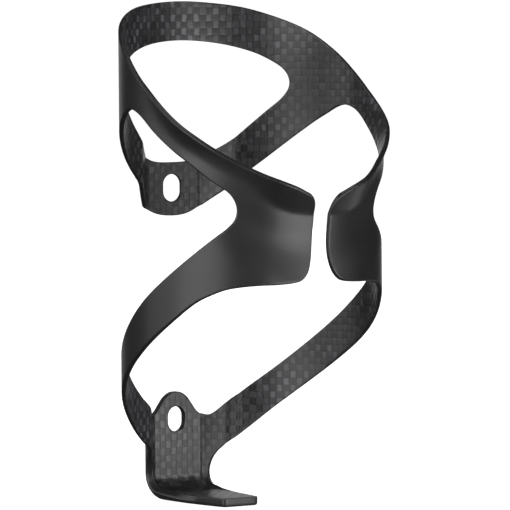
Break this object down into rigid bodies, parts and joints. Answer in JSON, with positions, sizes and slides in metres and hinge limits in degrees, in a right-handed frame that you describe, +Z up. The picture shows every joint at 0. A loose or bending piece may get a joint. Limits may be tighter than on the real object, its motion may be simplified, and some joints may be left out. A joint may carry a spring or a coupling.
{
  "type": "water bottle cage",
  "caption": "Moulded carbon bottle cage: a high back hoop, slanted arms, slotted mounting tabs, a foot and sprung grip wings that snap onto a bottle.",
  "frame": {"origin": "on the mounting face that lies against the bicycle frame, midway between the two bolt slots", "axes": "+Z up along the bottle, +Y into the bicycle frame along the bolts, grips open toward -Y, +X to the right seen from the grips"},
  "size_m": [0.0716, 0.0751, 0.137],
  "materials": {
    "carbon_skin": "satin clear-coated carbon laminate, near black, no weave showing",
    "woven_carbon": "satin plain-weave carbon ply, dark grey squares"
  },
  "bodies": {
    "cage": {"back_hoop": "carbon_skin", "back_hoop_weave": "woven_carbon", "left_shoulder": "carbon_skin", "left_shoulder_weave": "woven_carbon", "right_shoulder": "carbon_skin", "right_shoulder_weave": "woven_carbon", "left_upper_arm": "carbon_skin", "left_upper_arm_weave": "woven_carbon", "right_upper_arm": "carbon_skin", "right_upper_arm_weave": "woven_carbon", "upper_tab": "carbon_skin", "upper_tab_weave": "woven_carbon", "left_lower_arm": "carbon_skin", "left_lower_arm_weave": "woven_carbon", "right_lower_arm": "carbon_skin", "right_lower_arm_weave": "woven_carbon", "lower_tab": "carbon_skin", "lower_tab_weave": "woven_carbon", "foot": "carbon_skin", "foot_weave": "woven_carbon"},
    "left_grip": {"left_wing": "carbon_skin", "left_wing_weave": "woven_carbon"},
    "right_grip": {"right_wing": "carbon_skin", "right_wing_weave": "woven_carbon"}
  },
  "joints": [
    {"name": "left_grip_flex", "type": "hinge", "parent": "cage", "child": "left_grip", "pos_m": [-0.03462, -0.0471, 0.02], "axis": [0, 0, -1], "range_deg": [0, 6], "stiffness_Nm_per_rad": 12},
    {"name": "right_grip_flex", "type": "hinge", "parent": "cage", "child": "right_grip", "pos_m": [0.03462, -0.0471, 0.02], "axis": [0, 0, 1], "range_deg": [0, 6], "stiffness_Nm_per_rad": 12}
  ]
}
